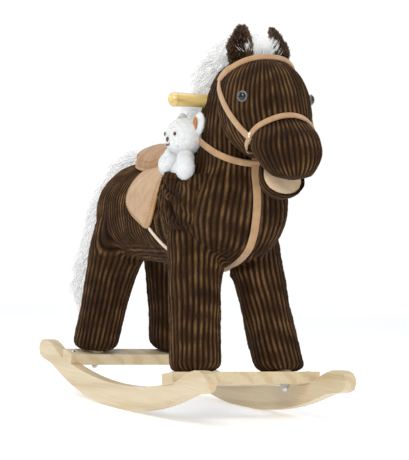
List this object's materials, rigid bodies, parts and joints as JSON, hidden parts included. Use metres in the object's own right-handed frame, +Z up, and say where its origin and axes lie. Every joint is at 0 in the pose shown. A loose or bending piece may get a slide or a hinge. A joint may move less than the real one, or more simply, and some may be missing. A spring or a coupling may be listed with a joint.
{
  "type": "plush rocking horse",
  "caption": "Corduroy plush rocking horse with a mane, bridle, saddle and handlebar, on curved pine rockers, with a small plush bear in a shoulder pocket.",
  "frame": {"origin": "on the floor, below the middle of the object's box", "axes": "+Z up, the horse faces -Y, its right side is -X"},
  "size_m": [0.245, 0.745, 0.597],
  "materials": {
    "pine": "satin lacquered pine",
    "varnished_wood": "honey varnish",
    "steel": "bright zinc plate",
    "corduroy": "wide-wale plush corduroy",
    "lining": "short felt",
    "eye": "polished dome",
    "suede": "synthetic suede",
    "cream_webbing": "woven tape",
    "fur": "long-pile faux fur",
    "bear_plush": "short-pile plush"
  },
  "bodies": {
    "horse": {"right_rocker": "pine", "left_rocker": "pine", "front_slat": "pine", "rear_slat": "pine", "spine_board": "pine", "neck_post": "pine", "front_right_slat_screw": "steel", "front_right_leg_bolt": "steel", "front_right_cap_nut": "steel", "front_right_leg_post": "pine", "front_right_leg_cover": "corduroy", "front_left_slat_screw": "steel", "front_left_leg_bolt": "steel", "front_left_cap_nut": "steel", "front_left_leg_post": "pine", "front_left_leg_cover": "corduroy", "rear_right_slat_screw": "steel", "rear_right_leg_bolt": "steel", "rear_right_cap_nut": "steel", "rear_right_leg_post": "pine", "rear_right_leg_cover": "corduroy", "rear_left_slat_screw": "steel", "rear_left_leg_bolt": "steel", "rear_left_cap_nut": "steel", "rear_left_leg_post": "pine", "rear_left_leg_cover": "corduroy", "handlebar": "varnished_wood", "torso_cover": "corduroy", "neck_cover": "corduroy", "head_cover": "corduroy", "muzzle_cover": "corduroy", "right_ear": "corduroy", "left_ear": "corduroy", "jaw_pin": "steel", "right_bridle_rivet": "steel", "left_bridle_rivet": "steel", "right_eye": "eye", "left_eye": "eye", "saddle_seat": "suede", "right_saddle_flap": "suede", "left_saddle_flap": "suede", "noseband": "suede", "chin_strap": "suede", "browband": "suede", "crownpiece": "suede", "right_cheek_strap": "suede", "left_cheek_strap": "suede", "collar_strap": "suede", "martingale_strap": "suede", "girth_strap": "cream_webbing", "mane": "fur", "forelock": "fur", "shoulder_pocket": "corduroy"},
    "jaw": {"lower_jaw": "corduroy", "mouth_lining": "lining"},
    "tail": {"tail": "fur"},
    "bear": {"bear_head": "bear_plush", "bear_body": "bear_plush", "bear_left_arm": "bear_plush", "bear_right_arm": "bear_plush"}
  },
  "joints": [
    {"name": "jaw_hinge", "type": "hinge", "parent": "horse", "child": "jaw", "pos_m": [0, -0.29, 0.394], "axis": [1, 0, 0], "range_deg": [-15, 3]},
    {"name": "tail_wag", "type": "hinge", "parent": "horse", "child": "tail", "pos_m": [0, 0.212, 0.398], "axis": [0, 1, 0], "range_deg": [-30, 10]},
    {"name": "bear_lift", "type": "slide", "parent": "horse", "child": "bear", "axis": [0, 0, 1], "range_m": [0, 0.01]}
  ]
}
